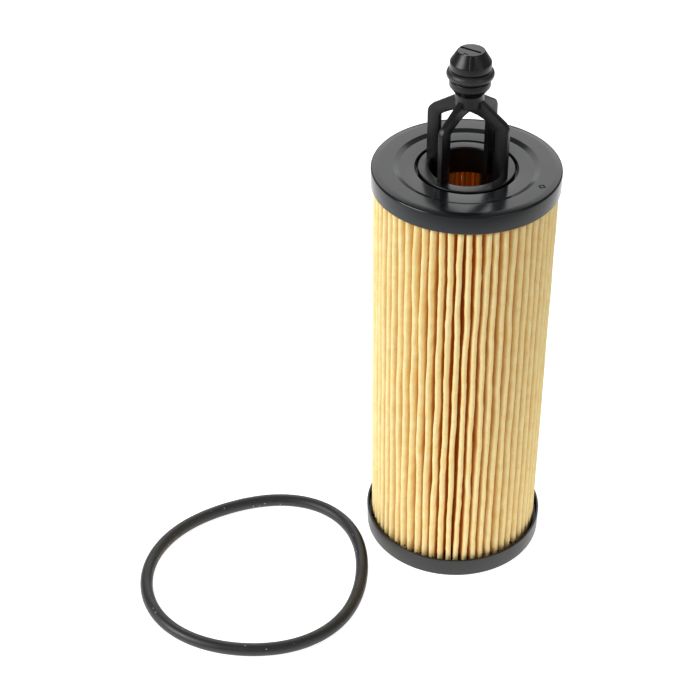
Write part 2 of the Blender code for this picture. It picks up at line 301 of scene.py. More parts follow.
def grow_tree(name: str, tree: bpy.types.NodeTree, values: dict[str, object],
              start: bpy.types.Mesh | None = None) -> bpy.types.Object:
    """Run a Geometry Nodes tree and return what it makes as a plain mesh object.

    Args:
        name: the new object's name.
        tree: the tree, which ends in Realize Instances and Set Material.
        values: a value for each of the tree's named inputs.
        start: the mesh that the tree works on, if it needs one.

    Returns:
        The object, at the origin and without modifiers.
    """
    item = link_object(name, start or bpy.data.meshes.new(name))
    modifier = item.modifiers.new(name, "NODES")
    modifier.node_group = tree
    for socket in tree.interface.items_tree:
        if socket.item_type == "SOCKET" and socket.in_out == "INPUT" and socket.name in values:
            modifier[socket.identifier] = values[socket.name]
    bake_modifiers(item)
    return item


def new_tree(name: str, inputs: dict[str, str]) -> tuple[bpy.types.NodeTree, bpy.types.Node]:
    """Start a Geometry Nodes tree.

    Args:
        name: the tree's name.
        inputs: input name to socket type.

    Returns:
        The tree and its Group Input node.
    """
    tree = bpy.data.node_groups.new(name, "GeometryNodeTree")
    tree.interface.new_socket("Geometry", in_out="OUTPUT", socket_type="NodeSocketGeometry")
    for label, kind in inputs.items():
        tree.interface.new_socket(label, in_out="INPUT", socket_type=kind)
    return tree, add_node(tree, "NodeGroupInput")


def close_tree(tree: bpy.types.NodeTree, geometry: bpy.types.Node,
               material: bpy.types.NodeSocket, smooth: bool = True) -> None:
    """End a tree in Realize Instances, smooth shading and Set Material."""
    real = add_node(tree, "GeometryNodeRealizeInstances", {"Geometry": geometry})
    shade = add_node(tree, "GeometryNodeSetShadeSmooth",
                     {"Geometry": real, "Shade Smooth": smooth})
    dressed = add_node(tree, "GeometryNodeSetMaterial",
                       {"Geometry": shade, "Material": material})
    add_node(tree, "NodeGroupOutput", {0: dressed})


# ---------------------------------------------------------------- finishes


class MouldFace(Enum):
    """How a face of the mould was finished, as the roughness that it leaves."""

    POLISHED = 0.17
    SATIN = 0.3


def new_material(name: str) -> tuple[bpy.types.NodeTree, bpy.types.Node,
                                     bpy.types.NodeSocket]:
    """Start a material and return its tree, its Principled shader and the object's place."""
    material = bpy.data.materials.new(name)
    material.use_nodes = True
    tree = material.node_tree
    place = add_node(tree, "ShaderNodeTexCoord").outputs["Object"]
    return tree, tree.nodes["Principled BSDF"], place


@dataclass(frozen=True)
class MouldedNylon:
    """Black glass-filled nylon, injection moulded.

    The carbon black hides all colour. The mould's polish gives a clear gloss, and the glass
    fibres just under the skin give it a very fine, dull orange peel.
    """

    name: str
    face: MouldFace = MouldFace.POLISHED
    colour: str = "#141617"
    gloss: float = 0.5
    fibre_mm: float = 0.45
    fibre_depth_mm: float = 0.004
    haze_mm: float = 6.0
    haze_spread: tuple[float, float] = (0.85, 1.2)
    ior: float = 1.53

    def material(self) -> bpy.types.Material:
        """Build the material.

        Returns:
            The finished material.
        """
        tree, shader, place = new_material(self.name)
        fibre = add_node(tree, NOISE,
                         {"Vector": place, "Scale": 1.0 / (self.fibre_mm * MM), "Detail": 2.0})
        haze = add_node(tree, NOISE,
                        {"Vector": place, "Scale": 1.0 / (self.haze_mm * MM), "Detail": 4.0})
        clearest, dullest = [self.face.value * share for share in self.haze_spread]
        rough = add_node(tree, MAP_RANGE,
                         {"Value": haze.outputs["Fac"], "From Min": NOISE_LOW,
                          "From Max": NOISE_HIGH, "To Min": clearest, "To Max": dullest})
        bump = add_node(tree, "ShaderNodeBump",
                        {"Height": fibre.outputs["Fac"], "Strength": 0.35,
                         "Distance": self.fibre_depth_mm * MM})
        fill_inputs(tree, shader, {"Base Color": srgb(self.colour), "Roughness": rough,
                                   "Normal": bump, "IOR": self.ior,
                                   "Specular IOR Level": self.gloss})
        return bpy.data.materials[self.name]


@dataclass(frozen=True)
class ResinPaper:
    """Cellulose filter paper stiffened with phenolic resin.

    Matt cream fibres, mottled where the resin pooled. Towards the fold depths the base colour
    turns to a darker orange as painted shade, and the paper glows orange-brown by emission as a
    painted stand-in for light through the thin sheet, less so at the bore.
    """

    name: str = "resin_filter_paper"
    light: str = "#fdebb2"
    dark: str = "#f6d68e"
    # Painted light in the fold depths: a darker base colour painted as shade, and an emitted glow
    # colour and strength, weaker at the bore.
    fold: str = "#d69e48"
    fold_glow: str = "#c4601a"
    painted_glow: float = 0.11
    tip_radius: float = 22.65
    fold_depth: float = 2.6
    bore_glow: float = 0.3
    bore: tuple[float, float] = (12.5, 16.0)
    fibre_mm: float = 0.35
    mottle_mm: float = 3.0
    fibre_share: float = 0.45
    resin_ramp: tuple[float, float] = (0.36, 0.62)
    tooth_mm: float = 0.06
    roughness: float = 0.92
    sheen: float = 0.25

    def material(self) -> bpy.types.Material:
        """Build the material.

        Returns:
            The finished material.
        """
        tree, shader, place = new_material(self.name)
        mottle = add_node(tree, NOISE,
                          {"Vector": place, "Scale": 1.0 / (self.mottle_mm * MM), "Detail": 5.0,
                           "Roughness": 0.6})
        fibre = add_node(tree, NOISE,
                         {"Vector": place, "Scale": 1.0 / (self.fibre_mm * MM), "Detail": 3.0,
                          "Distortion": 1.5})
        both = add_node(tree, "ShaderNodeMix",
                        {0: self.fibre_share, 2: mottle.outputs["Fac"],
                         3: fibre.outputs["Fac"]},
                        data_type="FLOAT")
        ramp = add_node(tree, "ShaderNodeValToRGB", {"Fac": both})
        stops = zip(ramp.color_ramp.elements, self.resin_ramp, (self.dark, self.light))
        for stop, position, colour in stops:
            stop.position = position
            stop.color = srgb(colour)
        bump = add_node(tree, "ShaderNodeBump",
                        {"Height": fibre.outputs["Fac"], "Strength": 0.5,
                         "Distance": self.tooth_mm * MM})
        # Painted shade and painted glow by radius: towards the fold depths the base colour turns
        # to the darker fold colour and the paper emits the glow colour.
        axis = add_node(tree, VECTOR_MATH, (place, (1.0, 1.0, 0.0)), operation="MULTIPLY")
        radius = add_node(tree, VECTOR_MATH, (axis,), operation="LENGTH").outputs["Value"]
        depth = add_node(tree, MAP_RANGE,
                         {"Value": radius, "From Min": (self.tip_radius - self.fold_depth) * MM,
                          "From Max": self.tip_radius * MM, "To Min": 1.0, "To Max": 0.0})
        fold_shaded = add_node(tree, "ShaderNodeMix", {"Factor": depth}, data_type="RGBA")
        surface, inside = [s for s in fold_shaded.inputs if s.type == "RGBA"]
        tree.links.new(ramp.outputs["Color"], surface)
        inside.default_value = srgb(self.fold)
        bore_wall, bore_end = self.bore
        # The painted glow drops to a share of its strength towards the bore.
        inner = add_node(tree, MAP_RANGE,
                         {"Value": radius, "From Min": bore_wall * MM, "From Max": bore_end * MM,
                          "To Min": self.painted_glow * self.bore_glow, "To Max": self.painted_glow})
        painted_glow = add_node(tree, MATH, (depth, inner), operation="MULTIPLY")
        fill_inputs(tree, shader, {"Base Color": fold_shaded.outputs[2], "Normal": bump,
                                   "Roughness": self.roughness,
                                   "Specular IOR Level": self.sheen,
                                   "Emission Color": srgb(self.fold_glow),
                                   "Emission Strength": painted_glow})
        return bpy.data.materials[self.name]


@dataclass(frozen=True)
class NitrileRubber:
    """Black nitrile rubber, compression moulded.

    A soft sheen over dark grey, a faint bloom in patches, and pale specks of dust.
    """

    name: str
    colour: str = "#242426"
    dust: str = "#b9b6ae"
    bloom_mm: float = 5.0
    bloom_roughness: tuple[float, float] = (0.36, 0.52)
    grain_mm: float = 0.25
    dust_mm: float = 2.4
    speck: tuple[float, float] = (0.05, 0.09)
    speck_cover: float = 0.8
    ior: float = 1.52

    def material(self) -> bpy.types.Material:
        """Build the material.

        Returns:
            The finished material.
        """
        tree, shader, place = new_material(self.name)
        bloom = add_node(tree, NOISE,
                         {"Vector": place, "Scale": 1.0 / (self.bloom_mm * MM), "Detail": 5.0})
        grain = add_node(tree, NOISE,
                         {"Vector": place, "Scale": 1.0 / (self.grain_mm * MM), "Detail": 2.0})
        dust = add_node(tree, "ShaderNodeTexVoronoi",
                        {"Vector": place, "Scale": 1.0 / (self.dust_mm * MM)})
        core, rim = self.speck
        speck = add_node(tree, MAP_RANGE,
                         {"Value": dust.outputs["Distance"], "From Min": core, "From Max": rim,
                          "To Min": self.speck_cover, "To Max": 0.0})
        colour = add_node(tree, "ShaderNodeMix", {"Factor": speck}, data_type="RGBA")
        clean, dusty = [s for s in colour.inputs if s.type == "RGBA"]
        clean.default_value = srgb(self.colour)
        dusty.default_value = srgb(self.dust)
        clean_rough, bloomed_rough = self.bloom_roughness
        rough = add_node(tree, MAP_RANGE,
                         {"Value": bloom.outputs["Fac"], "From Min": NOISE_LOW,
                          "From Max": NOISE_HIGH, "To Min": clean_rough,
                          "To Max": bloomed_rough})
        bump = add_node(tree, "ShaderNodeBump",
                        {"Height": grain.outputs["Fac"], "Strength": 0.3, "Distance": 0.01 * MM})
        fill_inputs(tree, shader, {"Base Color": colour.outputs[2], "Roughness": rough,
                                   "Normal": bump, "IOR": self.ior})
        return bpy.data.materials[self.name]


@dataclass(frozen=True)
class HotMelt:
    """Polyamide hot melt that set as an amber bead: waxy, a little cloudy."""

    name: str = "amber_hot_melt"
    clear: str = "#c79a55"
    cloudy: str = "#dcbb82"
    cloud_mm: float = 2.0
    roughness: float = 0.38
    ior: float = 1.5

    def material(self) -> bpy.types.Material:
        """Build the material.

        Returns:
            The finished material.
        """
        tree, shader, place = new_material(self.name)
        cloud = add_node(tree, NOISE,
                         {"Vector": place, "Scale": 1.0 / (self.cloud_mm * MM), "Detail": 4.0})
        ramp = add_node(tree, "ShaderNodeValToRGB", {"Fac": cloud.outputs["Fac"]})
        ramp.color_ramp.elements[0].color = srgb(self.clear)
        ramp.color_ramp.elements[1].color = srgb(self.cloudy)
        fill_inputs(tree, shader, {"Base Color": ramp, "Roughness": self.roughness,
                                   "IOR": self.ior})
        return bpy.data.materials[self.name]


@dataclass(frozen=True)
class StudioPaper:
    """White seamless background paper, matt, with a painted pool of light: it glows by emission
    near the element and fades to dim further out.
    """

    name: str = "white_seamless_paper"
    colour: str = "#e6e6e6"
    glow: float = 0.85
    painted_light_pool: tuple[float, float] = (0.26, 0.42)
    painted_pool_centre: tuple[float, float, float] = (0.0, 0.15, 0.0)
    dim: float = 0.0

    def material(self) -> bpy.types.Material:
        """Build the material.

        Returns:
            The finished material.
        """
        tree, shader, place = new_material(self.name)
        # Painted pool of light: the floor emits at full glow near the element and fades to dim
        # further out.
        centre = add_node(tree, VECTOR_MATH, (place, self.painted_pool_centre), operation="SUBTRACT")
        far = add_node(tree, VECTOR_MATH, (centre,), operation="LENGTH")
        near_edge, far_edge = self.painted_light_pool
        light = add_node(tree, MAP_RANGE,
                         {"Value": far.outputs["Value"], "From Min": near_edge,
                          "From Max": far_edge, "To Min": self.glow, "To Max": self.dim},
                         interpolation_type="SMOOTHSTEP")
        fill_inputs(tree, shader, {"Base Color": srgb(self.colour), "Roughness": 0.9,
                                   "Emission Color": (1.0, 1.0, 1.0, 1.0),
                                   "Emission Strength": light})
        return bpy.data.materials[self.name]


# ---------------------------------------------------------------- the element's pieces


@dataclass
class PleatedPaper:
    """The pleated paper ring, its seam bead and the loose fibres on its folds."""

    pleats: int = 62
    steps: int = 8
    rows: int = 98
    inner_radius: float = 11.85
    fold_half: float = 0.7
    root_half: float = 0.47
    paper: float = 0.4
    wander: float = 0.42
    short_wave: float = 0.35
    swelling: float = 0.16
    shiver: float = 0.18
    sinking: float = 0.22
    seam_azimuth: float = 90.0
    seed: float = 4.0
    buried: float = 0.25
    fibre_density: float = 90000.0
    fibre_band: float = 0.7
    fibre_length: float = 0.55
    fibre_radius: float = 0.035
    fibre_seed: int = 11
    finish: ResinPaper = field(default_factory=ResinPaper)
    melt: HotMelt = field(default_factory=HotMelt)

    def __post_init__(self) -> None:
        """Read the paper's outer size and height from the frame."""
        low, high = node_box("pleated_media")
        self.outer_radius = high.x
        self.bottom = low.z - self.buried
        self.top = high.z + self.buried

    def pleat_tree(self) -> bpy.types.NodeTree:
        """Build the tree that folds a flat grid into the pleated ring.

        A column's place along the strip gives its pleat and its phase in that pleat. From
        phase 0 (valley) to 0.25 the sheet runs out along the fold's wall, and from 0.25 to
        0.5 it goes round the tip. Noise on the pleat's number and the height makes each tip
        wander, swell and narrow.

        Returns:
            The tree.
        """
        tree, given = new_tree("pleated_ring", {
            "Pleats": "NodeSocketInt", "Columns": "NodeSocketInt", "Rows": "NodeSocketInt",
            "Inner Radius": "NodeSocketFloat", "Outer Radius": "NodeSocketFloat",
            "Bottom": "NodeSocketFloat", "Height": "NodeSocketFloat",
            "Fold Half Width": "NodeSocketFloat", "Root Half Width": "NodeSocketFloat",
            "Wander": "NodeSocketFloat", "Seam Azimuth": "NodeSocketFloat",
            "Seed": "NodeSocketFloat", "Material": "NodeSocketMaterial"})
        size = given.outputs
        grid = add_node(tree, "GeometryNodeMeshGrid",
                        {"Size X": 1.0, "Size Y": 1.0, "Vertices X": size["Columns"],
                         "Vertices Y": size["Rows"]})
        spot = add_node(tree, "ShaderNodeSeparateXYZ",
                        (add_node(tree, "GeometryNodeInputPosition"),))
        along = add_node(tree, MATH, (spot.outputs["X"], 0.5), operation="ADD")
        share = add_node(tree, MATH, (spot.outputs["Y"], 0.5), operation="ADD")
        rise = add_node(tree, MATH, (share, size["Height"]), operation="MULTIPLY")
        length = add_node(tree, MATH, (size["Pleats"], 0.5), operation="SUBTRACT")
        strip = add_node(tree, MATH, (along, length, 0.75), operation="MULTIPLY_ADD")
        number = add_node(tree, MATH, (strip,), operation="FLOOR")
        phase = add_node(tree, MATH, (strip,), operation="FRACT")
        # A phase of exactly one half still counts as the first wall.
        past_tip = add_node(tree, MATH, (phase, 0.5001), operation="SUBTRACT")
        side = add_node(tree, MATH, (past_tip,), operation="SIGN")
        fold = add_node(tree, MATH, (phase, 0.5), operation="PINGPONG")
        lap = add_node(tree, MATH, (number, size["Pleats"]), operation="MODULO")
        free = add_node(tree, MATH, (lap, 0.5), operation="GREATER_THAN")
        climb = add_node(tree, MATH, (fold, 4.0), operation="MULTIPLY")
        wall = add_node(tree, MATH, (climb, 1.0), operation="MINIMUM")
        past_wall = add_node(tree, MATH, (fold, 0.25), operation="SUBTRACT")
        on_tip = add_node(tree, MATH, (past_wall, 0.0), operation="MAXIMUM")
        turn = add_node(tree, MATH, (on_tip, math.tau), operation="MULTIPLY")

        def ripple(step_mm: float, tag: float, own_sides: bool = False) -> bpy.types.Node:
            """Add noise of about -1 to 1 that changes with height and from pleat to pleat.

            Args:
                step_mm: the height over which it changes.
                tag: a number that sets it apart from the other ripples.
                own_sides: whether a pleat's two walls change on their own.

            Returns:
                The node that gives it.
            """
            key = lap
            if own_sides:
                key = add_node(tree, MATH, (side, 31.7, lap), operation="MULTIPLY_ADD")
            offset = add_node(tree, MATH, (size["Seed"], tag), operation="ADD")
            spread = add_node(tree, MATH, (key, 7.31, offset), operation="MULTIPLY_ADD")
            level = add_node(tree, MATH, (rise, step_mm), operation="DIVIDE")
            where = add_node(tree, "ShaderNodeCombineXYZ", (spread, level, tag))
            texture = add_node(tree, NOISE, {"Vector": where, "Scale": 1.0, "Detail": 1.5})
            centred = add_node(tree, MATH, (texture.outputs["Fac"], 0.5), operation="SUBTRACT")
            return add_node(tree, MATH, (centred, 3.2), operation="MULTIPLY")

        # Each tip drifts sideways in a long wave with a shorter one on it.
        small = add_node(tree, MATH, (ripple(9.0, 11.0), self.short_wave), operation="MULTIPLY")
        both_waves = add_node(tree, MATH, (ripple(34.0, 3.0), small), operation="ADD")
        drift = add_node(tree, MATH, (both_waves, size["Wander"]), operation="MULTIPLY")

        # It swells slowly, its edges shiver, and some tips sit a little deeper than others.
        edge = add_node(tree, MATH, (ripple(2.6, 23.0, own_sides=True), self.shiver, 1.0),
                        operation="MULTIPLY_ADD")
        swell = add_node(tree, MATH, (ripple(26.0, 19.0), self.swelling, edge),
                         operation="MULTIPLY_ADD")
        half = add_node(tree, MATH, (size["Fold Half Width"], swell), operation="MULTIPLY")
        depth = add_node(tree, MATH, (ripple(40.0, 29.0),), operation="ABSOLUTE")
        sink = add_node(tree, MATH, (depth, self.sinking), operation="MULTIPLY")
        outside = add_node(tree, MATH, (size["Outer Radius"], sink), operation="SUBTRACT")
        crest = add_node(tree, MATH, (outside, half), operation="SUBTRACT")

        # Radius: out along the wall, then round the tip's half circle.
        reach = add_node(tree, MATH, (crest, size["Inner Radius"]), operation="SUBTRACT")
        on_wall = add_node(tree, MATH, (wall, reach, size["Inner Radius"]),
                           operation="MULTIPLY_ADD")
        sine = add_node(tree, MATH, (turn,), operation="SINE")
        bulge = add_node(tree, MATH, (half, sine), operation="MULTIPLY")
        radius = add_node(tree, MATH, (on_wall, bulge), operation="ADD")

        # Half width: the next pleat's valley at the root, and the fold's own width outside.
        pitch = add_node(tree, MATH, (math.tau, size["Pleats"]), operation="DIVIDE")
        arc = add_node(tree, MATH, (pitch, size["Inner Radius"]), operation="MULTIPLY")
        root_pitch = add_node(tree, MATH, (arc, 0.5), operation="MULTIPLY")
        in_valley = add_node(tree, MATH, (fold, 0.02), operation="LESS_THAN")
        spare = add_node(tree, MATH, (root_pitch, size["Root Half Width"]), operation="SUBTRACT")
        root = add_node(tree, MATH, (in_valley, spare, size["Root Half Width"]),
                        operation="MULTIPLY_ADD")
        widening = add_node(tree, MATH, (half, root), operation="SUBTRACT")
        wide = add_node(tree, MATH, (wall, widening, root), operation="MULTIPLY_ADD")
        cosine = add_node(tree, MATH, (turn,), operation="COSINE")
        narrowed = add_node(tree, MATH, (wide, cosine), operation="MULTIPLY")
        across = add_node(tree, MATH, (narrowed, side), operation="MULTIPLY")

        # Azimuth: the pleat's own place, then its width and its drift as arcs.
        slack = add_node(tree, MATH, (drift, wall), operation="MULTIPLY")
        lean = add_node(tree, MATH, (slack, free), operation="MULTIPLY")
        sideways = add_node(tree, MATH, (across, lean), operation="ADD")
        shift = add_node(tree, MATH, (sideways, radius), operation="DIVIDE")
        middle = add_node(tree, MATH, (number, pitch), operation="MULTIPLY")
        local = add_node(tree, MATH, (middle, shift), operation="ADD")
        azimuth = add_node(tree, MATH, (local, size["Seam Azimuth"]), operation="ADD")
        east = add_node(tree, MATH, (azimuth,), operation="COSINE")
        north = add_node(tree, MATH, (azimuth,), operation="SINE")
        point = add_node(tree, "ShaderNodeCombineXYZ", (
            add_node(tree, MATH, (radius, east), operation="MULTIPLY"),
            add_node(tree, MATH, (radius, north), operation="MULTIPLY"),
            add_node(tree, MATH, (rise, size["Bottom"]), operation="ADD")))
        metres = add_node(tree, VECTOR_MATH, {0: point, "Scale": MM},
                          operation="SCALE")
        folded = add_node(tree, "GeometryNodeSetPosition",
                          {"Geometry": grid.outputs["Mesh"], "Position": metres})
        close_tree(tree, folded, size["Material"])
        return tree

    def build_pleats(self) -> bpy.types.Object:
        """Fold the strip, give it the paper's thickness and hand it over.

        Returns:
            The pleated ring.
        """
        values = {
            "Pleats": self.pleats, "Columns": (2 * self.pleats - 1) * self.steps // 2 + 1,
            "Rows": self.rows, "Inner Radius": self.inner_radius,
            "Outer Radius": self.outer_radius, "Bottom": self.bottom,
            "Height": self.top - self.bottom, "Fold Half Width": self.fold_half,
            "Root Half Width": self.root_half, "Wander": self.wander,
            "Seam Azimuth": math.radians(self.seam_azimuth), "Seed": self.seed,
            "Material": self.finish.material()}
        ring = grow_tree("paper_pleats", self.pleat_tree(), values)
        solid = ring.modifiers.new("paper", "SOLIDIFY")
        solid.thickness = self.paper * MM
        solid.offset = -1.0
        bake_modifiers(ring)
        return finish_piece(ring, ELEMENT, "filter_paper", "pleated_media")

    def fibre_tree(self) -> bpy.types.NodeTree:
        """Build the tree that sets loose fibres on the folds' tips.

        Returns:
            The tree.
        """
        tree, given = new_tree("loose_fibres", {
            "Sheet": "NodeSocketGeometry", "Density": "NodeSocketFloat",
            "Tip Radius": "NodeSocketFloat", "Length": "NodeSocketFloat",
            "Thickness": "NodeSocketFloat", "Seed": "NodeSocketInt",
            "Material": "NodeSocketMaterial"})
        size = given.outputs
        place = add_node(tree, "GeometryNodeInputPosition")
        spot = add_node(tree, "ShaderNodeSeparateXYZ", {0: place})
        flat = add_node(tree, "ShaderNodeCombineXYZ",
                        {"X": spot.outputs["X"], "Y": spot.outputs["Y"], "Z": 0.0})
        far = add_node(tree, VECTOR_MATH, {0: flat}, operation="LENGTH")
        on_tip = add_node(tree, MATH, (far.outputs["Value"], size["Tip Radius"]),
                          operation="GREATER_THAN")
        scatter = add_node(tree, "GeometryNodeDistributePointsOnFaces",
                           {"Mesh": size["Sheet"], "Selection": on_tip,
                            "Density": size["Density"], "Seed": size["Seed"]})
        hair = add_node(tree, "GeometryNodeMeshCone",
                        {"Vertices": 4, "Side Segments": 2, "Radius Top": 0.0,
                         "Radius Bottom": size["Thickness"], "Depth": size["Length"]})
        spin = add_node(tree, "FunctionNodeRandomValue",
                        {0: (-1.2, -1.2, -3.1), 1: (1.2, 1.2, 3.1), "Seed": 5},
                        data_type="FLOAT_VECTOR")
        grow = add_node(tree, "FunctionNodeRandomValue", {2: 0.35, 3: 1.0, "Seed": 6},
                        data_type="FLOAT")
        turned_out = add_node(tree, "FunctionNodeRotateRotation",
                              {"Rotation": scatter.outputs["Rotation"], "Rotate By": spin},
                              rotation_space="LOCAL")
        planted = add_node(tree, "GeometryNodeInstanceOnPoints",
                           {"Points": scatter.outputs["Points"], "Instance": hair.outputs["Mesh"],
                            "Rotation": turned_out, "Scale": grow.outputs[1]})
        close_tree(tree, planted, size["Material"])
        return tree

    def build_fibres(self, ring: bpy.types.Object) -> bpy.types.Object:
        """Scatter loose fibres over the folds' tips.

        Args:
            ring: the finished pleated ring.

        Returns:
            The fibres as one piece.
        """
        values = {"Density": self.fibre_density, "Seed": self.fibre_seed,
                  "Tip Radius": (self.outer_radius - self.fibre_band) * MM,
                  "Length": self.fibre_length * MM, "Thickness": self.fibre_radius * MM,
                  "Material": ring.data.materials[0]}
        fibres = grow_tree("paper_fibres", self.fibre_tree(), values, ring.data.copy())
        return finish_piece(fibres, ELEMENT, "filter_paper")

    def build_seam(self) -> bpy.types.Object:
        """Build the bead of melt that closes the strip's two ends.

        Returns:
            The bead.
        """
        low, high = node_box("seam_bead")
        levels = 90
        around = 10
        inner_half, widening = 0.14, 0.24
        middle = (low.y + high.y) / 2 - 0.05
        half_depth = (high.y - low.y) / 2
        bm = bmesh.new()
        loops = []
        for level in range(levels + 1):
            z = low.z + (high.z - low.z) * level / levels
            swell = 1.0 + 0.35 * noise.noise(Vector((0.0, z / 2.1, 5.0)))
            push = 0.12 * noise.noise(Vector((3.0, z / 5.0, 1.0)))
            loop = []
            for step in range(around):
                angle = math.tau * step / around
                depth = half_depth * math.cos(angle)
                wide = inner_half + widening * (depth + half_depth) / (2 * half_depth)
                x = wide * swell * math.sin(angle) + push * (depth > 0)
                loop.append(bm.verts.new((x, middle + depth, z)))
            loops.append(loop)
        for lower, upper in zip(loops, loops[1:]):
            for step in range(around):
                ahead = (step + 1) % around
                bm.faces.new((lower[step], lower[ahead], upper[ahead], upper[step]))
        bm.faces.new(loops[0])
        bm.faces.new(loops[-1])
        mesh = mesh_from_bmesh(bm, "seam_melt", SOFT_DEGREES)
        mesh.materials.append(self.melt.material())
        return finish_piece(link_object("seam_melt", mesh), ELEMENT, "hot_melt", "seam_bead")


@dataclass
class LowerCap:
    """The closed cap that the element stands on, with its rim and melted traces."""

    wall: float = 0.55
    floor: float = 2.5
    foot_inset: float = 0.1
    spigot: tuple[float, float] = (9.0, 9.9)
    spigot_top: float = 5.5
    recess: tuple[float, float] = (7.5, 17.0)
    recess_slope: float = 0.8
    recess_depth: float = 1.0
    gate: tuple[float, float] = (1.1, 1.4)
    gate_depth: float = 0.25
    finish: MouldedNylon = field(default_factory=lambda: MouldedNylon(
        "moulded_nylon_lower_cap", MouldFace.SATIN))

    def __post_init__(self) -> None:
        """Read the cap's size from the frame."""
        low, high = node_box("bottom_end_cap")
        self.radius = high.x
        self.height = high.z

    def build_cap(self) -> bpy.types.Object:
        """Turn the dish: soft rim, low spigot ring inside, recess and gate dimple underneath.

        Returns:
            The cap.
        """
        inner = self.radius - self.wall
        foot = self.radius - self.foot_inset
        spigot_in, spigot_out = self.spigot
        recess_in, recess_out = self.recess
        gate_in, gate_out = self.gate
        edge = 0.15
        profile = fillet([
            (0.0, self.floor, 0.0), (spigot_in, self.floor, 0.0),
            (spigot_in, self.spigot_top, edge), (spigot_out, self.spigot_top, edge),
            (spigot_out, self.floor, 0.0), (inner, self.floor, 0.2),
            (inner, self.height, 0.12), (self.radius, self.height, 0.18), (foot, 0.0, 0.25),
            (recess_out, 0.0, edge), (recess_out - self.recess_slope, self.recess_depth, edge),
            (recess_in + self.recess_slope, self.recess_depth, edge), (recess_in, 0.0, edge),
            (gate_out, 0.0, 0.1), (gate_in, self.gate_depth, 0.1), (0.0, self.gate_depth, 0.0),
        ], steps=4)
        mesh = turned("lower_cap", profile, 192, closed=False)
        mesh.materials.append(self.finish.material())
        return finish_piece(link_object("lower_cap", mesh), ELEMENT, "black_nylon",
                            "bottom_end_cap")


@dataclass
class MeltLine:
    """Black bits that the hot plate pushed up between the folds' feet."""

    count: int = 120
    radius: float = 22.95
    level: float = 4.8
    bit: float = 0.34
    stray: tuple[float, float, float] = (0.6, 0.6, 0.5)
    seed: int = 8
    finish: MouldedNylon = field(default_factory=lambda: MouldedNylon("melted_nylon_bits"))

    def bits_tree(self) -> bpy.types.NodeTree:
        """Build the tree that sets rough bits along a circle.

        Returns:
            The tree.
        """
        tree, given = new_tree("melted_bits", {
            "Count": "NodeSocketInt", "Radius": "NodeSocketFloat", "Level": "NodeSocketFloat",
            "Bit": "NodeSocketFloat", "Seed": "NodeSocketInt", "Material": "NodeSocketMaterial"})
        size = given.outputs
        circle = add_node(tree, "GeometryNodeMeshCircle",
                          {"Vertices": size["Count"], "Radius": size["Radius"]})
        stray = Vector(self.stray)
        jitter = add_node(tree, "FunctionNodeRandomValue",
                          {0: -stray, 1: stray, "Seed": size["Seed"]}, data_type="FLOAT_VECTOR")
        raised = add_node(tree, "ShaderNodeCombineXYZ", {"Z": size["Level"]})
        moved = add_node(tree, VECTOR_MATH, {0: jitter, 1: raised},
                         operation="ADD")
        placed = add_node(tree, "GeometryNodeSetPosition",
                          {"Geometry": circle, "Offset": moved})
        grain = add_node(tree, "GeometryNodeMeshIcoSphere", {"Radius": size["Bit"],
                                                             "Subdivisions": 2})
        spot = add_node(tree, "GeometryNodeInputPosition")
        lump = add_node(tree, NOISE, {"Vector": spot, "Scale": 1.7})
        shrink = add_node(tree, MATH, (lump.outputs["Fac"], 1.3, 0.25),
                          operation="MULTIPLY_ADD")
        rough = add_node(tree, VECTOR_MATH, {0: spot, "Scale": shrink},
                         operation="SCALE")
        lumpy = add_node(tree, "GeometryNodeSetPosition",
                         {"Geometry": grain.outputs["Mesh"], "Position": rough})
        turn = add_node(tree, "FunctionNodeRandomValue",
                        {0: (0.0, 0.0, 0.0), 1: (6.0, 6.0, 6.0), "Seed": 3},
                        data_type="FLOAT_VECTOR")
        grow = add_node(tree, "FunctionNodeRandomValue",
                        {0: (0.4, 0.4, 0.5), 1: (1.0, 1.0, 1.7), "Seed": 4},
                        data_type="FLOAT_VECTOR")
        set_out = add_node(tree, "GeometryNodeInstanceOnPoints",
                           {"Points": placed, "Instance": lumpy,
                            "Rotation": turn, "Scale": grow})
        real = add_node(tree, "GeometryNodeRealizeInstances", {"Geometry": set_out})
        metres = add_node(tree, "GeometryNodeTransform", {"Geometry": real,
                                                          "Scale": (MM, MM, MM)})
        close_tree(tree, metres, size["Material"])
        return tree

    def build(self) -> bpy.types.Object:
        """Set the bits and hand them over.

        Returns:
            The bits as one piece.
        """
        values = {"Count": self.count, "Radius": self.radius, "Level": self.level,
                  "Bit": self.bit, "Seed": self.seed, "Material": self.finish.material()}
        bits = grow_tree("melted_bits", self.bits_tree(), values)
        return finish_piece(bits, ELEMENT, "black_nylon")


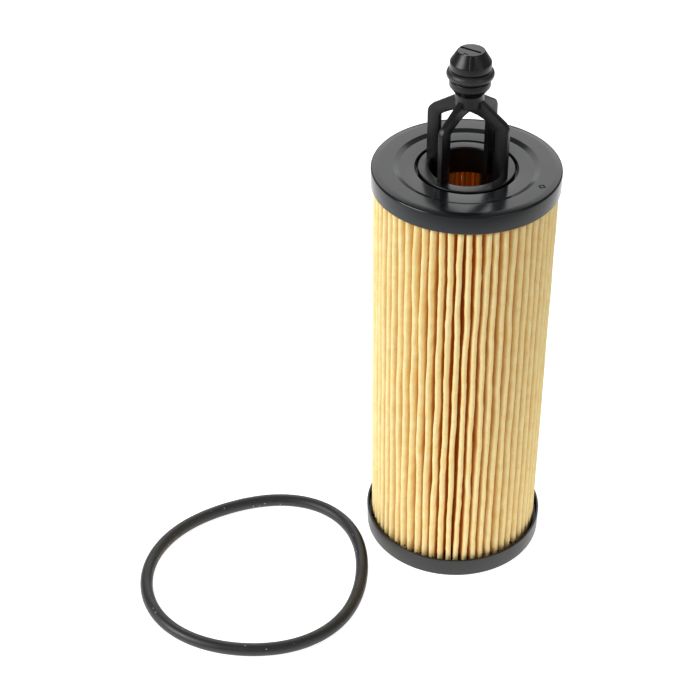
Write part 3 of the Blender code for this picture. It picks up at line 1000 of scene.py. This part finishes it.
@dataclass
class UpperCap:
    """The ring-shaped cap on top of the paper."""

    border_radius: float = 22.2
    border_drop: float = 0.2
    track: tuple[float, float] = (17.0, 18.4)
    track_depth: float = 0.5
    bore: float = 11.6
    counterbore: float = 13.0
    counterbore_depth: float = 3.1
    mark_place: tuple[float, float] = (17.9, -10.4)
    mark_turn: float = 20.0
    mark_halves: tuple[float, float] = (0.38, 0.72)
    mark_depth: float = 0.3
    finish: MouldedNylon = field(default_factory=lambda: MouldedNylon(
        "moulded_nylon_upper_cap", colour="#14171a", gloss=0.36))

    def __post_init__(self) -> None:
        """Read the cap's size from the frame."""
        low, high = node_box("top_end_cap")
        self.radius = high.x
        self.bottom = low.z
        self.top = high.z

    def square_mark(self, name: str, half: float, top: float) -> bpy.types.Mesh:
        """Build a small square block that starts a little under the cap's face.

        Args:
            name: the mesh's name.
            half: half its side in millimetres.
            top: its upper level in millimetres.

        Returns:
            The block, in place on the flat band.
        """
        square = [(-half, -half), (half, -half), (half, half), (-half, half)]
        block = prism(name, square, self.top - self.mark_depth, top)
        place = Matrix.Translation(Vector((*self.mark_place, 0.0)) * MM)
        block.transform(place @ Matrix.Rotation(math.radians(self.mark_turn), 4, "Z"))
        return block

    def build_cap(self) -> bpy.types.Object:
        """Turn the cap and sink its small square mark.

        Returns:
            The cap.
        """
        track_in, track_out = self.track
        floor = self.top - self.track_depth
        ledge = self.top - self.counterbore_depth
        profile = fillet([
            (track_out, self.top, 0.22), (self.border_radius, self.top, 0.5),
            (self.radius, self.top - self.border_drop, 0.55), (self.radius, self.bottom, 0.15),
            (self.bore, self.bottom, 0.0), (self.bore, ledge, 0.0),
            (self.counterbore, ledge, 0.1), (self.counterbore, floor, 0.2),
            (track_in, floor, 0.3),
        ], steps=5)
        cap = link_object("upper_cap", turned("upper_cap", profile, 192))
        island, frame_half = self.mark_halves
        boolean(cap, [self.square_mark("mark_frame", frame_half, self.top + 0.5)], "DIFFERENCE")
        boolean(cap, [self.square_mark("mark_island", island, self.top)], "UNION")
        cap.data.materials.clear()
        cap.data.materials.append(self.finish.material())
        return finish_piece(cap, ELEMENT, "black_nylon", "top_end_cap")


@dataclass
class StemCage:
    """Collar, four flat legs, and the grooved stem with its slotted tip."""

    leg_azimuths: tuple[float, float] = (-31.5, 49.5)
    leg_thickness: float = 1.4
    leg_outer: float = 11.2
    leg_inner: float = 7.8
    shoulder: float = 132.8
    shoulder_round: float = 3.0
    hub: tuple[float, float] = (3.4, 138.0)
    hub_bottom: float = 136.3
    arch_shoulder: tuple[float, float] = (131.2, 0.8)
    arch_apex: tuple[float, float] = (136.7, 10.5)
    foot_rise: float = 0.4
    lip_radius: float = 12.2
    lip_height: float = 2.4
    collar_outer: float = 11.3
    collar_inner: float = 9.3
    neck_radius: float = 3.6
    neck_top: float = 139.4
    flange_radius: float = 5.1
    flange_bottom: float = 141.4
    groove: tuple[float, float] = (143.1, 145.9)
    groove_radius: float = 3.0
    head_shoulder: float = 147.7
    tip_radius: float = 3.3
    slot_azimuth: float = -33.4
    slot_end: float = 2.7
    slot_half: float = 0.38
    slot_depth: float = 0.8
    notch_azimuth: float = -124.0
    notch_reach: tuple[float, float] = (2.2, 4.0)
    notch_half: float = 0.55
    notch_depth: float = 0.14
    rib_azimuths: tuple[float, ...] = (-95.0, -74.0)
    rib_half: float = 0.27
    rib_proud: tuple[float, float] = (0.42, 0.3)
    rib_foot: float = 147.0
    lip_top: float = 118.5
    finish: MouldedNylon = field(default_factory=lambda: MouldedNylon(
        "moulded_nylon_stem", MouldFace.SATIN, colour="#0e0f10", gloss=0.38))
    rubber: NitrileRubber = field(default_factory=lambda: NitrileRubber("nitrile_stem_seal"))

    def __post_init__(self) -> None:
        """Read the cage's lowest and highest levels from the frame."""
        low, high = node_box("stem_cage")
        self.bottom = low.z
        self.top = high.z

    def leg_plate(self, name: str, azimuth: float) -> bpy.types.Mesh:
        """Build one flat arch of two opposite legs.

        Args:
            name: the mesh's name.
            azimuth: where its legs stand, in degrees.

        Returns:
            The arch with softened edges.
        """
        foot = self.bottom + self.foot_rise
        arch_z, arch_round = self.arch_shoulder
        right = [(self.leg_outer, foot, 0.0), (self.leg_outer, self.shoulder, self.shoulder_round),
                 (*self.hub, 0.0)]
        left = [(-r, z, radius) for r, z, radius in reversed(right)]
        under = [(-self.leg_inner, foot, 0.0), (-self.leg_inner, arch_z, arch_round),
                 (0.0, *self.arch_apex), (self.leg_inner, arch_z, arch_round),
                 (self.leg_inner, foot, 0.0)]
        half = self.leg_thickness / 2
        mesh = prism(name, fillet(right + left + under, steps=7), -half, half, edge=0.16)
        mesh.transform(Matrix.Rotation(math.radians(azimuth), 4, "Z")
                       @ Matrix.Rotation(math.radians(90.0), 4, "X"))
        return mesh

    def tip_rib(self, name: str, azimuth: float) -> bpy.types.Mesh:
        """Build one slim rib that runs down the cone of the tip.

        Args:
            name: the mesh's name.
            azimuth: where it stands, in degrees.

        Returns:
            The rib.
        """
        inside = self.tip_radius - 0.6
        start = self.top - 0.2
        proud_tip, proud_shoulder = self.rib_proud
        outline = [(inside, start), (self.tip_radius + proud_tip, start),
                   (self.flange_radius + proud_shoulder, self.head_shoulder),
                   (self.flange_radius - 0.6, self.rib_foot), (inside, self.rib_foot)]
        rib = prism(name, outline, -self.rib_half, self.rib_half, edge=0.14)
        rib.transform(Matrix.Rotation(math.radians(azimuth), 4, "Z")
                      @ Matrix.Rotation(math.radians(90.0), 4, "X"))
        return rib

    def tip_cut(self, name: str, azimuth: float, reach: tuple[float, float], half: float,
                depth: float) -> bpy.types.Mesh:
        """Build a cutter for the tip's flat face.

        Args:
            name: the mesh's name.
            azimuth: the direction that it runs in, in degrees.
            reach: where it starts and ends along that direction, in millimetres.
            half: half its width in millimetres.
            depth: how deep it cuts in millimetres.

        Returns:
            The cutter, which stands proud of the face.
        """
        start, end = reach
        cutter = prism(name, [(start, -half), (end, -half), (end, half), (start, half)],
                       self.top - depth, self.top + 1.0)
        cutter.transform(Matrix.Rotation(math.radians(azimuth), 4, "Z"))
        return cutter

    def stem_profile(self) -> Profile:
        """Return the stem's half section from its tip down to its buried foot."""
        groove_low, groove_high = self.groove
        foot = self.hub_bottom
        return fillet([
            (0.0, self.top, 0.0), (self.tip_radius, self.top, 0.35),
            (self.flange_radius, self.head_shoulder, 0.9),
            (self.flange_radius, groove_high, 0.25), (self.groove_radius, groove_high, 0.0),
            (self.groove_radius, groove_low, 0.0), (self.flange_radius, groove_low, 0.25),
            (self.flange_radius, self.flange_bottom, 0.6),
            (self.neck_radius, self.neck_top, 0.7), (self.neck_radius, foot, 0.0),
            (0.0, foot, 0.0),
        ], steps=5)

    def build_cage(self) -> bpy.types.Object:
        """Unite collar, legs and stem, cut the slot and hand the cage over.

        Returns:
            The cage.
        """
        lip_bottom = self.lip_top - self.lip_height
        collar = fillet([
            (self.collar_inner, self.lip_top, 0.35), (self.lip_radius, self.lip_top, 0.25),
            (self.lip_radius, lip_bottom, 0.0), (self.collar_outer, lip_bottom, 0.0),
            (self.collar_outer, self.bottom, 0.1), (self.collar_inner, self.bottom, 0.1),
        ], steps=5)
        cage = link_object("stem_cage_moulding", turned("stem_cage_moulding", collar, 160))
        stem = turned("stem", self.stem_profile(), 96, closed=False)
        boolean(cage, [stem,
                       *(self.leg_plate(f"legs_{at}", azimuth)
                         for at, azimuth in enumerate(self.leg_azimuths)),
                       *(self.tip_rib(f"tip_rib_{at}", azimuth)
                         for at, azimuth in enumerate(self.rib_azimuths))], "UNION")
        slot = self.tip_cut("slot", self.slot_azimuth, (-self.flange_radius, self.slot_end),
                            self.slot_half, self.slot_depth)
        notch = self.tip_cut("notch", self.notch_azimuth, self.notch_reach, self.notch_half,
                             self.notch_depth)
        boolean(cage, [slot, notch], "DIFFERENCE")
        cage.data.materials.clear()
        cage.data.materials.append(self.finish.material())
        return finish_piece(cage, ELEMENT, "black_nylon", "stem_cage")

    def build_seal(self) -> bpy.types.Object:
        """Build the small seal in the stem's groove.

        Returns:
            The seal.
        """
        low, high = node_box("stem_tip_seal")
        section = (high.z - low.z) / 2
        mean = high.x - section
        middle = (low.z + high.z) / 2
        profile = [(mean + section * math.cos(a), middle + section * math.sin(a))
                   for a in (math.tau * step / 32 for step in range(32))]
        mesh = turned("stem_seal", profile, 96, sharp=SOFT_DEGREES)
        mesh.materials.append(self.rubber.material())
        return finish_piece(link_object("stem_seal", mesh), ELEMENT, "nitrile_rubber",
                            "stem_tip_seal")


@dataclass
class CoverSeal:
    """The housing's large seal, lying loose beside the element."""

    radius: float = 29.9
    waves: tuple[tuple[int, float, float], ...] = ((2, 1.13, 34.3), (3, 0.86, -57.8),
                                                   (4, 0.29, -41.3))
    trim: float = -0.012
    rubber: NitrileRubber = field(default_factory=lambda: NitrileRubber("nitrile_cover_seal"))

    def __post_init__(self) -> None:
        """Read the ring's section and centre from the frame."""
        low, high = node_box("cover_seal_ring")
        self.section = high.z - low.z
        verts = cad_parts["cover_seal_ring"].data.vertices
        total = sum((vert.co for vert in verts), Vector())
        self.centre = total / len(verts) / MM

    def ring_tree(self) -> bpy.types.NodeTree:
        """Build the tree that sweeps a round section along the softly waved ring.

        The section loses a hair's breadth where the mould parted and its flash was trimmed.

        Returns:
            The tree.
        """
        tree, given = new_tree("waved_ring", {
            "Radius": "NodeSocketFloat", "Section": "NodeSocketFloat",
            "Trim": "NodeSocketFloat", "Centre": "NodeSocketVector",
            "Material": "NodeSocketMaterial"})
        size = given.outputs
        circle = add_node(tree, "GeometryNodeCurvePrimitiveCircle",
                          {"Resolution": 320, "Radius": 1.0})
        spot = add_node(tree, "ShaderNodeSeparateXYZ",
                        (add_node(tree, "GeometryNodeInputPosition"),))
        azimuth = add_node(tree, MATH, (spot.outputs["Y"], spot.outputs["X"]),
                           operation="ARCTAN2")
        radius = size["Radius"]
        for order, amplitude, phase in self.waves:
            angle = add_node(tree, MATH, (azimuth, float(order), -order * math.radians(phase)),
                             operation="MULTIPLY_ADD")
            wave = add_node(tree, MATH, (angle,), operation="COSINE")
            radius = add_node(tree, MATH, (wave, amplitude, radius), operation="MULTIPLY_ADD")
        east = add_node(tree, MATH, (azimuth,), operation="COSINE")
        north = add_node(tree, MATH, (azimuth,), operation="SINE")
        point = add_node(tree, "ShaderNodeCombineXYZ", (
            add_node(tree, MATH, (radius, east), operation="MULTIPLY"),
            add_node(tree, MATH, (radius, north), operation="MULTIPLY")))
        placed = add_node(tree, VECTOR_MATH, {0: point, 1: size["Centre"]},
                          operation="ADD")
        metres = add_node(tree, VECTOR_MATH, {0: placed, "Scale": MM},
                          operation="SCALE")
        path = add_node(tree, "GeometryNodeSetPosition",
                        {"Geometry": circle.outputs["Curve"], "Position": metres})
        section = add_node(tree, "GeometryNodeCurvePrimitiveCircle",
                           {"Resolution": 36, "Radius": 1.0})
        edge = add_node(tree, "ShaderNodeSeparateXYZ",
                        (add_node(tree, "GeometryNodeInputPosition"),))
        sideways = add_node(tree, MATH, (edge.outputs["X"],), operation="ABSOLUTE")
        on_line = add_node(tree, MATH, (sideways, 0.9999), operation="GREATER_THAN")
        trim = add_node(tree, MATH, (on_line, size["Trim"], 1.0), operation="MULTIPLY_ADD")
        half = add_node(tree, MATH, (size["Section"], MM / 2), operation="MULTIPLY")
        grown = add_node(tree, MATH, (trim, half), operation="MULTIPLY")
        thick = add_node(tree, VECTOR_MATH,
                         {0: add_node(tree, "GeometryNodeInputPosition"),
                          "Scale": grown}, operation="SCALE")
        round_section = add_node(tree, "GeometryNodeSetPosition",
                                 {"Geometry": section.outputs["Curve"], "Position": thick})
        swept = add_node(tree, "GeometryNodeCurveToMesh",
                         {"Curve": path, "Profile Curve": round_section})
        close_tree(tree, swept, size["Material"])
        return tree

    def build(self) -> bpy.types.Object:
        """Sweep the ring and hand it over.

        Returns:
            The ring.
        """
        values = {"Radius": self.radius, "Section": self.section, "Trim": self.trim,
                  "Centre": tuple(self.centre), "Material": self.rubber.material()}
        ring = grow_tree("cover_seal", self.ring_tree(), values)
        return finish_piece(ring, COVER_SEAL, "nitrile_rubber", "cover_seal_ring")


@dataclass
class SupportTube:
    """The open tube inside the paper, kept from the frame."""

    finish: MouldedNylon = field(default_factory=lambda: MouldedNylon(
        "moulded_nylon_tube", MouldFace.SATIN))

    def dress(self) -> None:
        """Give the frame's tube its finish."""
        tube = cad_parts["centre_core"]
        tube.data.materials.clear()
        tube.data.materials.append(self.finish.material())
        log.info("centre_core: kept from the frame")


# ---------------------------------------------------------------- studio


@dataclass(frozen=True)
class SoftLight:
    """One soft box: place and size in metres, and a glow where 1 shows as white."""

    name: str
    place: tuple[float, float, float]
    size: tuple[float, float]
    glow: float

    def hang(self, aim: Vector) -> None:
        """Hang the light so that it faces a point, unseen by the camera.

        Args:
            aim: the point in metres.
        """
        data = bpy.data.lights.new(self.name, "AREA")
        data.shape = "RECTANGLE"
        data.size, data.size_y = self.size
        data.energy = self.glow * math.pi * data.size * data.size_y
        lamp = bpy.data.objects.new(self.name, data)
        lamp.visible_camera = False
        lamp.location = self.place
        lamp.rotation_euler = (aim - Vector(self.place)).to_track_quat("-Z", "Y").to_euler()
        bpy.context.scene.collection.objects.link(lamp)


@dataclass
class Studio:
    """White floor, soft lights and the camera."""

    lens: float = 85.07
    eye: tuple[float, float, float] = (-25.96, -356.11, 331.96)
    pitch: float = 37.257
    yaw: float = 0.588
    roll: float = -0.473
    room: float = 0.27
    aim: tuple[float, float, float] = (0.0, 0.0, 0.07)
    floor_half: float = 3000.0
    floor_drop: float = 0.05
    lights: tuple[SoftLight, ...] = (
        SoftLight("key_left", (-0.75, -0.3, 0.5), (0.5, 0.5), 7.0),
        SoftLight("back_screen", (0.0, 1.1, 0.75), (1.6, 0.7), 1.8),
        SoftLight("fill_right", (0.7, -0.75, 0.45), (0.7, 0.7), 0.85),
    )
    paper: StudioPaper = field(default_factory=StudioPaper)

    def build_floor(self) -> bpy.types.Object:
        """Lay the white background paper.

        Returns:
            The floor.
        """
        bm = bmesh.new()
        bmesh.ops.create_grid(bm, x_segments=2, y_segments=2, size=self.floor_half)
        bmesh.ops.translate(bm, vec=(0.0, 0.0, -self.floor_drop), verts=bm.verts)
        mesh = mesh_from_bmesh(bm, "studio_floor", CRISP_DEGREES)
        mesh.materials.append(self.paper.material())
        floor = link_object("studio_floor", mesh)
        return floor

    def build_world(self) -> None:
        """Fill the room with even white light."""
        world = bpy.data.worlds.new("white_room")
        world.use_nodes = True
        ground = world.node_tree.nodes["Background"]
        ground.inputs["Color"].default_value = (1.0, 1.0, 1.0, 1.0)
        ground.inputs["Strength"].default_value = self.room
        bpy.context.scene.world = world

    def build_camera(self) -> None:
        """Place the camera at the standing viewer's angle."""
        data = bpy.data.cameras.new("camera")
        data.sensor_width = 36.0
        data.lens = self.lens
        data.clip_start = 0.01
        camera = bpy.data.objects.new("camera", data)
        turn = Matrix.Rotation(math.radians(self.yaw), 4, "Z")
        tilt = Matrix.Rotation(math.radians(90.0 - self.pitch), 4, "X")
        bank = Matrix.Rotation(math.radians(self.roll), 4, "Z")
        camera.matrix_world = (Matrix.Translation(Vector(self.eye) * MM) @ turn @ tilt @ bank)
        bpy.context.scene.collection.objects.link(camera)
        bpy.context.scene.camera = camera

    def build(self) -> None:
        """Set up camera, floor and light."""
        self.build_camera()
        self.build_floor()
        self.build_world()
        for light in self.lights:
            light.hang(Vector(self.aim))
        bpy.context.scene.view_settings.view_transform = "Standard"


def main() -> None:
    """Build the studio and every piece, in order."""
    logging.basicConfig(level=logging.INFO, format="%(name)s: %(message)s")
    Studio().build()
    paper = PleatedPaper()
    ring = paper.build_pleats()
    paper.build_fibres(ring)
    paper.build_seam()
    SupportTube().dress()
    LowerCap().build_cap()
    MeltLine().build()
    UpperCap().build_cap()
    cage = StemCage()
    cage.build_cage()
    cage.build_seal()
    CoverSeal().build()


if __name__ == "__main__":
    main()
